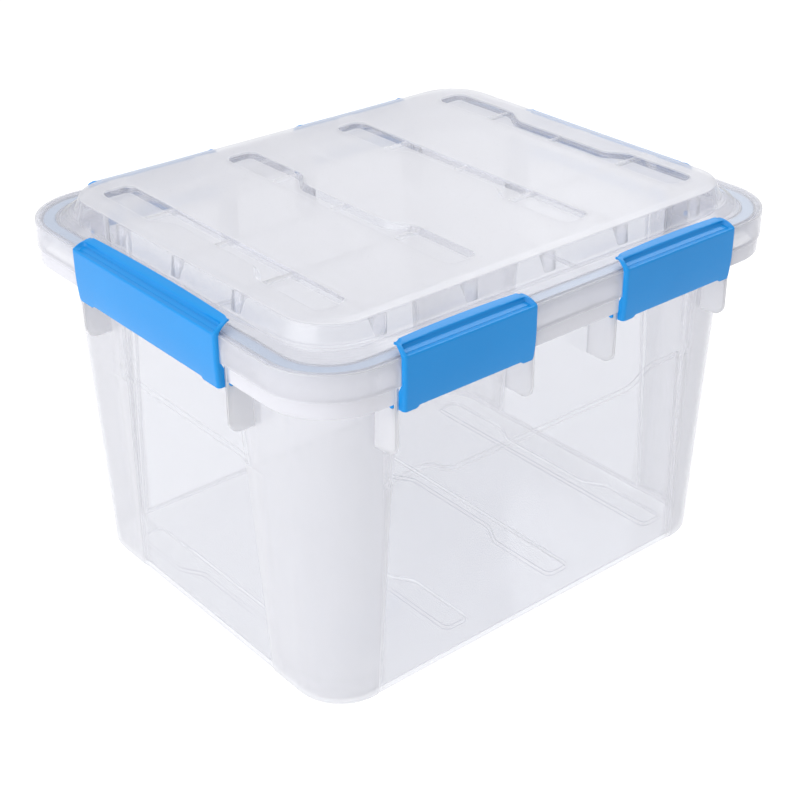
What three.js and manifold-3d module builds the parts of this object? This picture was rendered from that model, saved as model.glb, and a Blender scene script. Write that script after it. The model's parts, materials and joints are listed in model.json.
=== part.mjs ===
// Clear storage box with a gasketed lid and six swing latches.
//
// Units are millimetres, +Z is up, the origin is the centre of the footprint on the surface that the box stands on.
// X runs along the long sides and Y along the short sides (the ends).  Each moulding is one mesh: the tub, the lid,
// the gasket that sits in the lid's channel, and six latches whose stub pins turn in ears moulded under the tub's rim.

import * as THREE from 'three';
import { mergeVertices } from 'three/addons/utils/BufferGeometryUtils.js';
import Module from 'manifold-3d';

const wasm = await Module();
wasm.setup();

// ---------------------------------------------------------------- driving dimensions

const WALL = 2.4;                 // wall of the tub
const SHELL = 2.2;                // wall of the lid
const CORNER_SEGMENTS = 8;        // chords in each quarter-round corner
const ROUND_SEGMENTS = 14;        // chords around a pin and its bore

// Tub: half lengths of its footprint, how far each wall leans out per millimetre of height, and its levels.
const BASE = { hx: 208, hy: 168, r: 42 };
const COLUMN_DRAFT = 0.031;
const FLOOR_Z = 2.5;
const BASE_CHAMFER = 4;
const SHELF_TOP_Z = 296.5;
const SHELF_THICKNESS = 2.5;

// Panels sunk between the four corner columns: half width at the foot, how fast it narrows, and their planes.
const PANEL = { hx: 206.4, hy: 166.4, draft: 0.017, stepBelowRim: 2 };
const END_PANEL = { half: 93, narrowing: 0.07 };
const SIDE_PANEL = { half: 163, narrowing: 0.052 };
const LEDGE_Z = 189.6;
const SIDE_LEDGE = { dip: 12.6, dipHalf: 93, shoulderHalf: 118 };
const CUTTER_REACH = 14;

// Rim: the outline of its skirt, and the levels of the skirt and of the narrower band under it.
const RIM = { hx: 238.3, hy: 199.8, r: 56 };
const RIM_TOP_Z = 305;
const SKIRT_BOTTOM_Z = 284;
const BAND_BOTTOM_Z = 272;
const SKIRT_WALL = 2.4;
const BAND_INSET = 1.5;
const SEAL_BEAD = { inset: 11, width: 1.8, topZ: 299.2 };

// Lid: insets are measured inwards from the outside of the rim's skirt.
const FLANGE = { inset: 3.3, topZ: 305.5, undersideZ: 303.3 };
const CHANNEL = { outerInset: 5.2, innerInset: 16.4, wall: 1.6, bottomZ: 297.4 };
const STEP = { hx: 218, hy: 176.5, r: 48, topZ: 308.5, lean: 1.5 };
const DOME = { hx: 213, hy: 171, r: 43, edgeZ: 322, edgeLean: 4.5, topZ: 324, topLean: 11.5 };
const RIB = { thickness: 1.4, depth: 5, gussetReach: 16, gussetDrop: 9 };
const RIB_X = [-158, -76, 0, 76, 158];
const RIB_Y = [-76, 0, 76];

// Bone-shaped grooves in the lid; the feet under the tub have the same outline and stand in them when stacked.
const GROOVE = { tipY: 140, lobeY: 72, neckY: 50, lobeWidth: 27, neckWidth: 15, tipRadius: 8, depth: 5 };
const GROOVE_LINES = [            // x of the straight edge, and the side that the lobes bulge to
  { x: -161, side: -1 },
  { x: -71, side: 1 },
  { x: 71, side: -1 },
  { x: 161, side: 1 },
];
const FOOT_CLEARANCE = 1.6;

// Gasket: a flat ring between the channel's walls.
const GASKET = { outerInset: 7.2, innerInset: 16, bottomZ: 299.6, topZ: 303 };

// Latches: heights, and distances measured inwards from the plane of the outer face.
const LATCH = {
  faceX: 241.5, faceY: 203, plate: 2.3,
  bottomZ: 265, kneeZ: 282, kneeLean: 2.4, notch: 1.8, notchShare: 0.76,
  foldZ: 306.9, creaseIn: 9.2, creaseZ: 310.2, lipMiddle: 16.5, lipEnd: 14.2, lipTopZ: 313.4, lipThickness: 2,
  hookRoot: 4.4, hookIn: 9, hookZ: 306.6, hookChamfer: 1.2, hookOverlap: 0.8, slopeThickness: 1.8,
  pinIn: 9.7, pinZ: 268.5, pinRadius: 2.1, pinReach: 5.4, cheek: 2.4, cheekRadius: 4.1, cheekTopZ: 281.5,
};
const SIDE_LATCH = { half: 60, offset: 105 };
const END_LATCH = { half: 94, offset: 0 };
const EAR = { gap: 1.2, thickness: 3.2, bottomZ: 229, edgeInset: 3, cornerRadius: 8, boreRadius: 2.5, rootIn: 34 };

// ---------------------------------------------------------------- solids from three.js geometry

function toSolid(geometry) {
  const bare = geometry.index ? geometry.toNonIndexed() : geometry.clone();
  bare.deleteAttribute('normal');
  bare.deleteAttribute('uv');
  const merged = mergeVertices(bare, 1e-4);
  return new wasm.Manifold(new wasm.Mesh({
    numProp: 3,
    vertProperties: new Float32Array(merged.attributes.position.array),
    triVerts: new Uint32Array(merged.index.array),
  }));
}

function toGeometry(solid) {
  const mesh = solid.getMesh();
  const geometry = new THREE.BufferGeometry();
  geometry.setAttribute('position', new THREE.BufferAttribute(new Float32Array(mesh.vertProperties), 3));
  geometry.setIndex(new THREE.BufferAttribute(new Uint32Array(mesh.triVerts), 1));
  geometry.computeVertexNormals();
  return geometry;
}

const join = (solids) => solids.reduce((sum, next) => sum.add(next));
const cut = (solid, tools) => tools.reduce((rest, tool) => rest.subtract(tool), solid);

function roundedRectangle(hx, hy, r) {
  const shape = new THREE.Shape();
  shape.absarc(hx - r, hy - r, r, 0, Math.PI / 2);
  shape.absarc(-(hx - r), hy - r, r, Math.PI / 2, Math.PI);
  shape.absarc(-(hx - r), -(hy - r), r, Math.PI, 1.5 * Math.PI);
  shape.absarc(hx - r, -(hy - r), r, 1.5 * Math.PI, 2 * Math.PI);
  shape.closePath();
  return shape;
}

const inset = (outline, by) => roundedRectangle(outline.hx - by, outline.hy - by, outline.r - by);

// Extrudes an outline through a list of levels [z, grow]: at each level every quadrant moves out by grow.
function loft(shape, levels, curveSegments = CORNER_SEGMENTS) {
  const steps = levels.length - 1;
  const geometry = new THREE.ExtrudeGeometry(shape, { depth: steps, steps, bevelEnabled: false, curveSegments });
  const position = geometry.attributes.position;
  for (let i = 0; i < position.count; i += 1) {
    const [z, grow] = levels[Math.round(position.getZ(i))];
    const x = position.getX(i);
    const y = position.getY(i);
    position.setXYZ(i, x + Math.sign(x) * grow, y + Math.sign(y) * grow, z);
  }
  return toSolid(geometry);
}

const slab = (shape, z0, z1, curveSegments) => loft(shape, [[z0, 0], [z1, 0]], curveSegments);

const ring = (outline, outerInset, innerInset, z0, z1) =>
  slab(inset(outline, outerInset), z0, z1).subtract(slab(inset(outline, innerInset), z0 - 1, z1 + 1));

// A polygon of [across, up] points, swept along from s0 to s1.  Axes: across is +X, along is +Y, up is +Z.
function sweep(points, s0, s1) {
  const shape = new THREE.Shape(points.map(([across, up]) => new THREE.Vector2(across, up)));
  const geometry = new THREE.ExtrudeGeometry(shape, { depth: s1 - s0, bevelEnabled: false });
  geometry.rotateX(Math.PI / 2);
  geometry.translate(0, s1, 0);
  return toSolid(geometry);
}

function rodAlongY(radius, across, up, s0, s1) {
  const geometry = new THREE.CylinderGeometry(radius, radius, s1 - s0, ROUND_SEGMENTS);
  geometry.translate(across, (s0 + s1) / 2, up);
  return toSolid(geometry);
}

// The four faces of the box.  In a face's own frame +X points out of the box and +Y runs along the face.
const FACES = [
  { turn: 180, end: true },
  { turn: 0, end: true },
  { turn: -90, end: false },
  { turn: 90, end: false },
];

const onFace = (solid, face) => solid.rotate([0, 0, face.turn]);

// ---------------------------------------------------------------- tub

// A block outside a wall panel; backed moves its inner face and edges inwards, for the hollow side of the wall.
function panelCutter(face, upper, backed) {
  const panel = face.end ? END_PANEL : SIDE_PANEL;
  const plane = (face.end ? PANEL.hx : PANEL.hy) + (upper ? PANEL.stepBelowRim : 0) - backed;
  const halfAt = (z) => panel.half - panel.narrowing * z + backed / 2;
  const lowZ = -CUTTER_REACH;
  const highZ = SHELF_TOP_Z + 1;
  const ledgeZ = LEDGE_Z + backed;
  const outline = [[-halfAt(lowZ), lowZ], [halfAt(lowZ), lowZ]];
  if (upper) {
    outline.push([halfAt(highZ), highZ], [-halfAt(highZ), highZ]);
  } else if (face.end) {
    outline.push([halfAt(ledgeZ), ledgeZ], [-halfAt(ledgeZ), ledgeZ]);
  } else {
    const { dip, dipHalf, shoulderHalf } = SIDE_LEDGE;
    outline.push([halfAt(ledgeZ), ledgeZ], [shoulderHalf, ledgeZ], [dipHalf, ledgeZ - dip]);
    outline.push([-dipHalf, ledgeZ - dip], [-shoulderHalf, ledgeZ], [-halfAt(ledgeZ), ledgeZ]);
  }
  const shape = new THREE.Shape(outline.map(([s, z]) => new THREE.Vector2(s, z)));
  const geometry = new THREE.ExtrudeGeometry(shape, { depth: 1, bevelEnabled: false });
  const position = geometry.attributes.position;
  for (let i = 0; i < position.count; i += 1) {
    const s = position.getX(i);
    const z = position.getY(i);
    const outer = position.getZ(i) > 0.5 ? CUTTER_REACH : 0;
    const flare = Math.abs(s) > SIDE_LEDGE.shoulderHalf || face.end ? Math.sign(s) * outer : 0;
    position.setXYZ(i, plane + PANEL.draft * z + outer, s + flare, z);
  }
  return onFace(toSolid(geometry), face);
}

const panelCutters = (backed) =>
  FACES.flatMap((face) => [panelCutter(face, false, backed), panelCutter(face, true, backed)]);

function bone(line, margin) {
  const g = GROOVE;
  const straight = line.x + line.side * margin;
  const lobe = line.x + line.side * (g.lobeWidth - margin);
  const neck = line.x + line.side * (g.neckWidth - margin);
  const tip = g.tipY - margin;
  const r = g.tipRadius;
  const shape = new THREE.Shape();
  const inward = line.side * r;
  shape.moveTo(straight, -(tip - r));
  shape.lineTo(straight, tip - r);
  shape.quadraticCurveTo(straight, tip, straight + inward, tip);
  shape.lineTo(lobe - inward, tip);
  shape.quadraticCurveTo(lobe, tip, lobe, tip - r);
  shape.lineTo(lobe, g.lobeY + margin / 2);
  shape.lineTo(neck, g.neckY);
  shape.lineTo(neck, -g.neckY);
  shape.lineTo(lobe, -(g.lobeY + margin / 2));
  shape.lineTo(lobe, -(tip - r));
  shape.quadraticCurveTo(lobe, -tip, lobe - inward, -tip);
  shape.lineTo(straight + inward, -tip);
  shape.quadraticCurveTo(straight, -tip, straight, -(tip - r));
  return shape;
}

const boneSolid = (line, margin, z0, z1) => slab(bone(line, margin), z0, z1, 3);

function ears(face) {
  const latch = face.end ? END_LATCH : SIDE_LATCH;
  const rim = face.end ? RIM.hx : RIM.hy;
  const edge = rim - EAR.edgeInset;
  const root = rim - EAR.rootIn;
  const r = EAR.cornerRadius;
  const top = SHELF_TOP_Z - SHELF_THICKNESS / 2;
  const profile = [[root, top], [root, EAR.bottomZ], [edge - r, EAR.bottomZ]];
  for (let i = 1; i < 4; i += 1) {
    const angle = (i / 4) * (Math.PI / 2);
    profile.push([edge - r + r * Math.sin(angle), EAR.bottomZ + r - r * Math.cos(angle)]);
  }
  profile.push([edge, EAR.bottomZ + r], [edge, top]);
  const pinAcross = (face.end ? LATCH.faceX : LATCH.faceY) - LATCH.pinIn;
  const centres = latch.offset ? [-latch.offset, latch.offset] : [0];
  return centres.flatMap((centre) => [-1, 1].map((side) => {
    const near = centre + side * (latch.half + EAR.gap);
    const far = near + side * EAR.thickness;
    const [s0, s1] = [Math.min(near, far), Math.max(near, far)];
    const bore = rodAlongY(EAR.boreRadius, pinAcross, LATCH.pinZ, s0 - 1, s1 + 1);
    return onFace(sweep(profile, s0, s1).subtract(bore), face);
  }));
}

// The band under the skirt stops at the ears, so that each latch's cheeks have room to swing.
function bandGaps(face) {
  const latch = face.end ? END_LATCH : SIDE_LATCH;
  const rim = face.end ? RIM.hx : RIM.hy;
  const half = latch.half + EAR.gap;
  const centres = latch.offset ? [-latch.offset, latch.offset] : [0];
  const z0 = BAND_BOTTOM_Z - 1;
  const opening = [[rim - 9, z0], [rim + 3, z0], [rim + 3, SKIRT_BOTTOM_Z], [rim - 9, SKIRT_BOTTOM_Z]];
  return centres.map((centre) => onFace(sweep(opening, centre - half, centre + half), face));
}

function tubSolid() {
  const wallHeight = SHELF_TOP_Z - FLOOR_Z;
  const lean = (z) => COLUMN_DRAFT * (z - FLOOR_Z);
  const outline = roundedRectangle(BASE.hx, BASE.hy, BASE.r);
  const chamferZ = FLOOR_Z + BASE_CHAMFER;
  const shellLevels = [[FLOOR_Z, -BASE_CHAMFER], [chamferZ, lean(chamferZ)], [SHELF_TOP_Z, lean(SHELF_TOP_Z)]];
  const body = cut(loft(outline, shellLevels), panelCutters(0));

  const floorTop = FLOOR_Z + WALL;
  const hollowLevels = [
    [floorTop, -BASE_CHAMFER],
    [floorTop + BASE_CHAMFER, lean(floorTop + BASE_CHAMFER)],
    [SHELF_TOP_Z + 1, COLUMN_DRAFT * (wallHeight + 1)],
  ];
  const hollow = cut(loft(inset(BASE, WALL), hollowLevels), panelCutters(WALL));

  const rim = [
    slab(inset(RIM, SKIRT_WALL / 2), SHELF_TOP_Z - SHELF_THICKNESS, SHELF_TOP_Z),
    ring(RIM, 0, SKIRT_WALL, SKIRT_BOTTOM_Z, RIM_TOP_Z),
    cut(ring(RIM, BAND_INSET, BAND_INSET + SKIRT_WALL, BAND_BOTTOM_Z, SKIRT_BOTTOM_Z + 1), FACES.flatMap(bandGaps)),
    ring(RIM, SEAL_BEAD.inset, SEAL_BEAD.inset + SEAL_BEAD.width, SHELF_TOP_Z - 1, SEAL_BEAD.topZ),
  ];
  const feet = GROOVE_LINES.map((line) => boneSolid(line, FOOT_CLEARANCE, 0, floorTop));
  const footHollows = GROOVE_LINES.map((line) => boneSolid(line, FOOT_CLEARANCE + WALL, WALL, floorTop + 1));
  const outside = join([body, ...rim, ...feet, ...FACES.flatMap(ears)]);
  return cut(outside, [hollow, ...footHollows]);
}

// ---------------------------------------------------------------- lid and gasket

function ribs() {
  const top = DOME.topZ - SHELL / 2;
  const bottom = DOME.topZ - SHELL - RIB.depth;
  const gussetBottom = bottom - RIB.gussetDrop;
  const made = [];
  const addRib = (at, half, turned) => {
    const [s0, s1] = [at - RIB.thickness / 2, at + RIB.thickness / 2];
    const profile = [
      [-half, gussetBottom], [-half + RIB.gussetReach, bottom], [half - RIB.gussetReach, bottom],
      [half, gussetBottom], [half, top], [-half, top],
    ];
    const rib = sweep(profile, s0, s1);
    made.push(turned ? rib.rotate([0, 0, 90]) : rib);
  };
  RIB_Y.forEach((y) => addRib(y, DOME.hx, false));
  RIB_X.forEach((x) => addRib(-x, DOME.hy, true));
  return made;
}

function lidSolid() {
  const domeShape = roundedRectangle(DOME.hx, DOME.hy, DOME.r);
  const dome = loft(domeShape, [
    [FLANGE.undersideZ, 0], [FLANGE.topZ, 0], [DOME.edgeZ, -DOME.edgeLean], [DOME.topZ, -DOME.topLean],
  ]);
  const step = loft(roundedRectangle(STEP.hx, STEP.hy, STEP.r), [[FLANGE.undersideZ, 0], [STEP.topZ, -STEP.lean]]);
  const flange = slab(inset(RIM, FLANGE.inset), FLANGE.undersideZ, FLANGE.topZ);
  const domeHollow = loft(inset(DOME, SHELL), [
    [FLANGE.undersideZ - 1, 0], [FLANGE.topZ, 0],
    [DOME.edgeZ - SHELL / 2, -DOME.edgeLean], [DOME.topZ - SHELL, -DOME.topLean],
  ]);
  const stepHollow = loft(inset(STEP, SHELL), [[FLANGE.undersideZ - 1, 0], [STEP.topZ - SHELL, -STEP.lean]]);
  const shell = cut(join([dome, step, flange]), [domeHollow, stepHollow]);

  const channelWalls = [CHANNEL.outerInset, CHANNEL.innerInset].map((at) =>
    ring(RIM, at, at + CHANNEL.wall, CHANNEL.bottomZ, FLANGE.undersideZ + SHELL / 2));
  const grooveFloor = DOME.topZ - GROOVE.depth;
  const trays = GROOVE_LINES.map((line) => boneSolid(line, -SHELL, grooveFloor - SHELL, DOME.topZ - SHELL / 2));
  const grooves = GROOVE_LINES.map((line) => boneSolid(line, 0, grooveFloor, DOME.topZ + 1));
  const stiffeners = ribs().map((rib) => rib.intersect(join([dome, step])));
  return cut(join([shell, ...channelWalls, ...trays, ...stiffeners]), grooves);
}

const gasketSolid = () => ring(RIM, GASKET.outerInset, GASKET.innerInset, GASKET.bottomZ, GASKET.topZ);

// ---------------------------------------------------------------- latches

// A latch in its face's own frame, with its pin axis at the origin: out is +X, along is +Y, up is +Z.
function latchSolid(half) {
  const L = LATCH;
  const at = (inwards, z) => [L.pinIn - inwards, z - L.pinZ];
  const slope = (L.creaseZ - L.foldZ) / L.creaseIn;
  const slopeUnder = (inwards) => L.foldZ + slope * inwards - L.slopeThickness;
  const plate = sweep([
    at(L.kneeLean, L.bottomZ), at(0, L.kneeZ), at(0, L.foldZ), at(L.creaseIn, L.creaseZ),
    at(L.creaseIn, L.lipTopZ), at(L.creaseIn + L.plate, L.lipTopZ),
    at(L.creaseIn + L.plate, slopeUnder(L.creaseIn + L.plate)), at(L.plate, slopeUnder(L.plate)),
    at(L.plate, L.kneeZ), at(L.kneeLean + L.plate, L.bottomZ),
  ].reverse(), -half, half);
  const hookTop = (inwards) => at(inwards, slopeUnder(inwards) + L.hookOverlap);
  const hook = sweep([
    at(L.hookRoot, L.hookZ), hookTop(L.hookRoot), hookTop(L.hookIn),
    at(L.hookIn, L.hookZ + L.hookChamfer), at(L.hookIn - L.hookChamfer, L.hookZ),
  ], -(half - 1), half - 1);

  const lipShape = new THREE.Shape();
  lipShape.moveTo(L.pinIn - L.creaseIn, -half);
  lipShape.lineTo(L.pinIn - L.creaseIn, half);
  lipShape.lineTo(L.pinIn - L.lipEnd, half);
  const reach = 2 * L.lipMiddle - L.lipEnd;
  lipShape.quadraticCurveTo(L.pinIn - reach, 0, L.pinIn - L.lipEnd, -half);
  lipShape.closePath();
  const lip = slab(lipShape, L.lipTopZ - L.lipThickness - L.pinZ, L.lipTopZ - L.pinZ, 8);

  const r = L.cheekRadius;
  const cheekProfile = [
    at(L.plate / 2, L.cheekTopZ), at(L.kneeLean + L.plate / 2, L.bottomZ + 0.4), at(L.pinIn, L.pinZ - r),
  ];
  for (let i = 1; i < 6; i += 1) {
    const angle = (i / 5) * (Math.PI / 2) * 1.3;
    cheekProfile.push([-r * Math.sin(angle), -r * Math.cos(angle)]);
  }
  cheekProfile.push(at(L.plate + 3, L.cheekTopZ));
  const cheeks = [[-half, -(half - L.cheek)], [half - L.cheek, half]].map(([s0, s1]) => sweep(cheekProfile, s0, s1));
  const pins = [[-half - L.pinReach, -half + 1], [half - 1, half + L.pinReach]].map(([s0, s1]) =>
    rodAlongY(L.pinRadius, 0, 0, s0, s1));
  const notchHalf = half * L.notchShare;
  const notchTop = L.bottomZ + L.notch - L.pinZ;
  const notch = sweep([[0, -9], [L.pinIn + 1, -9], [L.pinIn + 1, notchTop], [0, notchTop]], -notchHalf, notchHalf);
  return join([plate, hook, lip, ...cheeks, ...pins]).subtract(notch);
}

// ---------------------------------------------------------------- the assembly

const clearPlastic = () => new THREE.MeshStandardMaterial({ color: 0xe6e6ee, roughness: 0.22, metalness: 0 });
const frostedPlastic = () => new THREE.MeshStandardMaterial({ color: 0xdedfe8, roughness: 0.35, metalness: 0 });
const sealRubber = () => new THREE.MeshStandardMaterial({ color: 0x93a3bb, roughness: 0.7, metalness: 0 });
const bluePlastic = () => new THREE.MeshStandardMaterial({ color: 0x3a8fdc, roughness: 0.4, metalness: 0 });

const box = new THREE.Group();

function addMesh(name, solid, material, parent = box) {
  const mesh = new THREE.Mesh(toGeometry(solid), material);
  mesh.name = name;
  parent.add(mesh);
  return mesh;
}

addMesh('tub', tubSolid(), clearPlastic());
addMesh('lid', lidSolid(), frostedPlastic());
addMesh('gasket', gasketSolid(), sealRubber());

// turn is the direction that the latch faces, in degrees about +Z; along is its offset on that face.
const LATCHES = [
  { name: 'latch_front_left', turn: -90, ...SIDE_LATCH, offset: -SIDE_LATCH.offset },
  { name: 'latch_front_right', turn: -90, ...SIDE_LATCH },
  { name: 'latch_back_left', turn: 90, ...SIDE_LATCH },
  { name: 'latch_back_right', turn: 90, ...SIDE_LATCH, offset: -SIDE_LATCH.offset },
  { name: 'latch_end_left', turn: 180, ...END_LATCH },
  { name: 'latch_end_right', turn: 0, ...END_LATCH },
];

for (const { name, turn, half, offset } of LATCHES) {
  const facesEnd = turn === 0 || turn === 180;
  const face = new THREE.Group();
  face.rotation.z = THREE.MathUtils.degToRad(turn);
  const latch = addMesh(name, latchSolid(half), bluePlastic(), face);
  latch.position.set((facesEnd ? LATCH.faceX : LATCH.faceY) - LATCH.pinIn, offset, LATCH.pinZ);
  box.add(face);
}

export default box;
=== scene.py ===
"""Looks of the latching storage box: a clear tub, a frosted lid over a rubber gasket, and six blue latches.

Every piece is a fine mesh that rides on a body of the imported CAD. One piece stands for each CAD node; the
lid's ribs and the latches' fittings are further pieces.
The builders work in millimetres in the row frame, and every mesh is scaled to metres as it is made.
Outlines are rounded rectangles given as half length, half width and corner radius; sections are lists of
(inset, height) pairs, where the inset is measured inwards from an outline.
"""
import json
import math

import bmesh
import bpy
from mathutils import Matrix, Vector
from mathutils.geometry import delaunay_2d_cdt


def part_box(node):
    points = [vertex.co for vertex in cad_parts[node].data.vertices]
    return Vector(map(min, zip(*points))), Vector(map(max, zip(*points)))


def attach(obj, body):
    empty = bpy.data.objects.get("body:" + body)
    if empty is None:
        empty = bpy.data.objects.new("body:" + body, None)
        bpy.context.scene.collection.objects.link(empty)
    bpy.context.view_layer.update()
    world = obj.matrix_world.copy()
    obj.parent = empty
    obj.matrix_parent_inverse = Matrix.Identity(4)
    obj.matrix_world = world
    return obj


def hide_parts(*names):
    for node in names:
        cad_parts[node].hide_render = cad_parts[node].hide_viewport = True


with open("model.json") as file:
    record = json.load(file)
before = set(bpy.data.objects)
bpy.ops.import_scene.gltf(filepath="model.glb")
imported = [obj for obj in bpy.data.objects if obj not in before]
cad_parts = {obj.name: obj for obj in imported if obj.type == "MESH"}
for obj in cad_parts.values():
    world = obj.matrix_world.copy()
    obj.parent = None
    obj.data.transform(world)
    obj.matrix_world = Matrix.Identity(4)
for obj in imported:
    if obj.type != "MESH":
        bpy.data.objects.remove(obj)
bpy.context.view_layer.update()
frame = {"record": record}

MM = 0.001

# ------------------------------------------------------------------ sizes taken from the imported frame


def box_mm(node):
    """Half length, half width, lowest and highest level of a CAD node that is centred on the Z axis."""
    low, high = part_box(node)
    return high.x / MM, high.y / MM, low.z / MM, high.z / MM


RIM_HX, RIM_HY, GROUND, RIM_TOP = box_mm("tub")
LID_HX, LID_HY, LID_LOW, LID_TOP = box_mm("lid")
GASKET_HX, _, GASKET_LOW, GASKET_TOP = box_mm("gasket")

# ------------------------------------------------------------------ sizes of the details, in millimetres

ARC_STEPS = 14
FILLET_STEPS = 4
CIRCLE_STEPS = 20
SIDE_STEPS = 16
SMALLEST_RADIUS = 0.5
LONGEST_FILLET = 0.45               # as a share of the straight piece beside it
WELD = 0.004
CUT_TOLERANCE = 1e-5
SHARP_ANGLE = math.radians(50.0)
PLATE_EDGE_ROUND = 0.5
FITTING_EDGE_ROUND = 0.4

WALL = 2.4
SHELL = 2.2

RIM = (RIM_HX, RIM_HY, 56.0)
BASE_FLOOR = GROUND + 2.5
BASE = (RIM_HX - 30.3, RIM_HY - 31.8, 42.0)
COLUMN_DRAFT = 0.031
COLUMN_OPENING = 0.35               # growth of the corner radius per millimetre that the wall leans out
BASE_ROUND = 6.0
FOOT_STEPS = 6
SHELF_TOP = RIM_TOP - 8.5
SHELF_UNDER = SHELF_TOP - 2.5
SKIRT_BOTTOM = RIM_TOP - 21.0
BAND_BOTTOM = RIM_TOP - 33.0
BAND_INSET = 1.5

# The panels' planes at the ground; they lean out by the draft.
PANEL = (RIM_HX - 31.9, RIM_HY - 33.4)
PANEL_DRAFT = 0.017
PANEL_MARKS = (0.0, 0.18, 0.36)     # as shares of the panel's half width
END_PANEL_MARKS = (0.55, 0.75)
LEDGE_STEP = 2.0
LEDGE_Z = 189.6
LEDGE_HALF = 0.8
LEDGE_MARGIN = 2.0
LEDGE_DIP = 12.6
DIP_HALF = 93.0
DIP_SHOULDER = 118.0
DIP_SOFT = 8.0
DIP_REACH = 90.0                    # how far above and below the ledge the wall follows its dip
# A panel's half width at the ground, and how much it narrows per millimetre of height.
END_FLANK = (93.0, 0.07)
SIDE_FLANK = (163.0, 0.052)
FLANK_SOFT = 1.9
FLANK_START = 2.2 * FLANK_SOFT
LOWER_WALL_STEPS = 9
LEDGE_STEPS = 6
UPPER_WALL_STEPS = 6
WALL_TOP = SHELF_UNDER - 4.0

FLANGE_UNDER = RIM_TOP - 1.7
FLANGE_TOP = RIM_TOP + 0.5
STEP_TOP = RIM_TOP + 3.5
DOME = (LID_HX - 22.0, LID_HY - 25.5, 43.0)
DOME_EDGE = LID_TOP - 1.0

# The place of each groove's straight side, and the direction of the groove's other side from it.
GROOVES = ((-161.0, -1), (-71.0, 1), (71.0, -1), (161.0, 1))
GROOVE_DEPTH = 5.0
GROOVE_SLOPE = 3.2
GROOVE_TIP = 140.0
LOBE_WIDTH = 27.5
NECK_WIDTH = 15.5
LOBE_START = 73.0
NECK_END = 47.0
TIP_RADIUS = 8.5
TIP_STEPS = 8
NECK_STEPS = 12
STRAIGHT_MARKS = (0.3, 0.6)         # as shares of the distance from a groove's middle to its tip

RIB_THICKNESS = 1.2
RIB_TOP = LID_TOP - 0.6 * SHELL     # inside the lid's wall, so that the two overlap
RIB_BOTTOM = LID_TOP - SHELL - 3.5
RIB_INSET = 0.7 * SHELL
RIB_END_GAP = 8.0
RIB_END_SLOPE = 2.5
PAD_THICKNESS = 1.8
PAD_FOOT = 4.6
PAD_HEAD = 7.4
PAD_FOOT_Z = STEP_TOP - 1.0
PAD_HEAD_Z = DOME_EDGE - 2.4
PAD_LEAN = 4.5
RIBS_ACROSS = (-157.6, -76.0, 0.0, 76.0, 157.6)
RIBS_ALONG = (-76.0, 0.0, 76.0)

# ------------------------------------------------------------------ mesh tools


def smooth(t):
    """Rises from 0 to 1 with level ends as t goes from 0 to 1."""
    t = min(1.0, max(0.0, t))
    return t * t * (3.0 - 2.0 * t)


def inset(outline, by):
    """The outline moved inwards by a distance."""
    return outline[0] - by, outline[1] - by, max(outline[2] - by, SMALLEST_RADIUS)


def rounded(path, radius):
    """The path of (inset, height) points with each inner corner replaced by a small curve.

    radius is one number for all the corners, or a list with a number for each.
    """
    points = [path[0]]
    for i in range(1, len(path) - 1):
        before, at, after = Vector(path[i - 1]), Vector(path[i]), Vector(path[i + 1])
        r = radius[i - 1] if isinstance(radius, (list, tuple)) else radius
        back = min(r, LONGEST_FILLET * (before - at).length)
        ahead = min(r, LONGEST_FILLET * (after - at).length)
        start = at + (before - at).normalized() * back
        end = at + (after - at).normalized() * ahead
        for k in range(FILLET_STEPS + 1):
            t = k / FILLET_STEPS
            points.append(tuple(start.lerp(at, t).lerp(at.lerp(end, t), t)))
    points.append(path[-1])
    return points


def plain_ring(outline, z, side_steps=SIDE_STEPS):
    """Points around a rounded rectangle at one level, anticlockwise from the middle of the +X side."""
    hx, hy, r = outline
    points = []
    for turn in range(4):
        long_way = turn % 2 == 1
        out, reach = (hy, hx - r) if long_way else (hx, hy - r)
        angle = turn * math.pi / 2
        ca, sa = math.cos(angle), math.sin(angle)
        for k in range(side_steps):
            along = -reach + 2.0 * reach * k / side_steps
            points.append((out * ca - along * sa, out * sa + along * ca, z))
        corner = (out - r, reach)
        for k in range(ARC_STEPS):
            a = k / ARC_STEPS * math.pi / 2
            x = corner[0] + r * math.cos(a)
            y = corner[1] + r * math.sin(a)
            points.append((x * ca - y * sa, x * sa + y * ca, z))
    return points


def inside(point, polygon):
    """True if a point lies inside a polygon of (x, y, ...) points."""
    x, y = point
    hit = False
    for (x0, y0, *_), (x1, y1, *_) in zip(polygon, polygon[1:] + polygon[:1]):
        if (y0 > y) != (y1 > y) and x < x0 + (x1 - x0) * (y - y0) / (y1 - y0):
            hit = not hit
    return hit


def fill(outline, holes=()):
    """The points and faces that fill a flat outline, leaving out its holes."""
    points, edges = [], []
    for loop in (outline, *holes):
        first = len(points)
        points += [Vector((p[0], p[1])) for p in loop]
        edges += [(first + i, first + (i + 1) % len(loop)) for i in range(len(loop))]
    found, _, faces, *_ = delaunay_2d_cdt(points, edges, [], 0, CUT_TOLERANCE)
    kept = []
    for face in faces:
        middle = sum((found[i] for i in face), Vector((0.0, 0.0))) / len(face)
        if inside(middle, outline) and not any(inside(middle, hole) for hole in holes):
            kept.append(face)
    return found, kept


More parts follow.
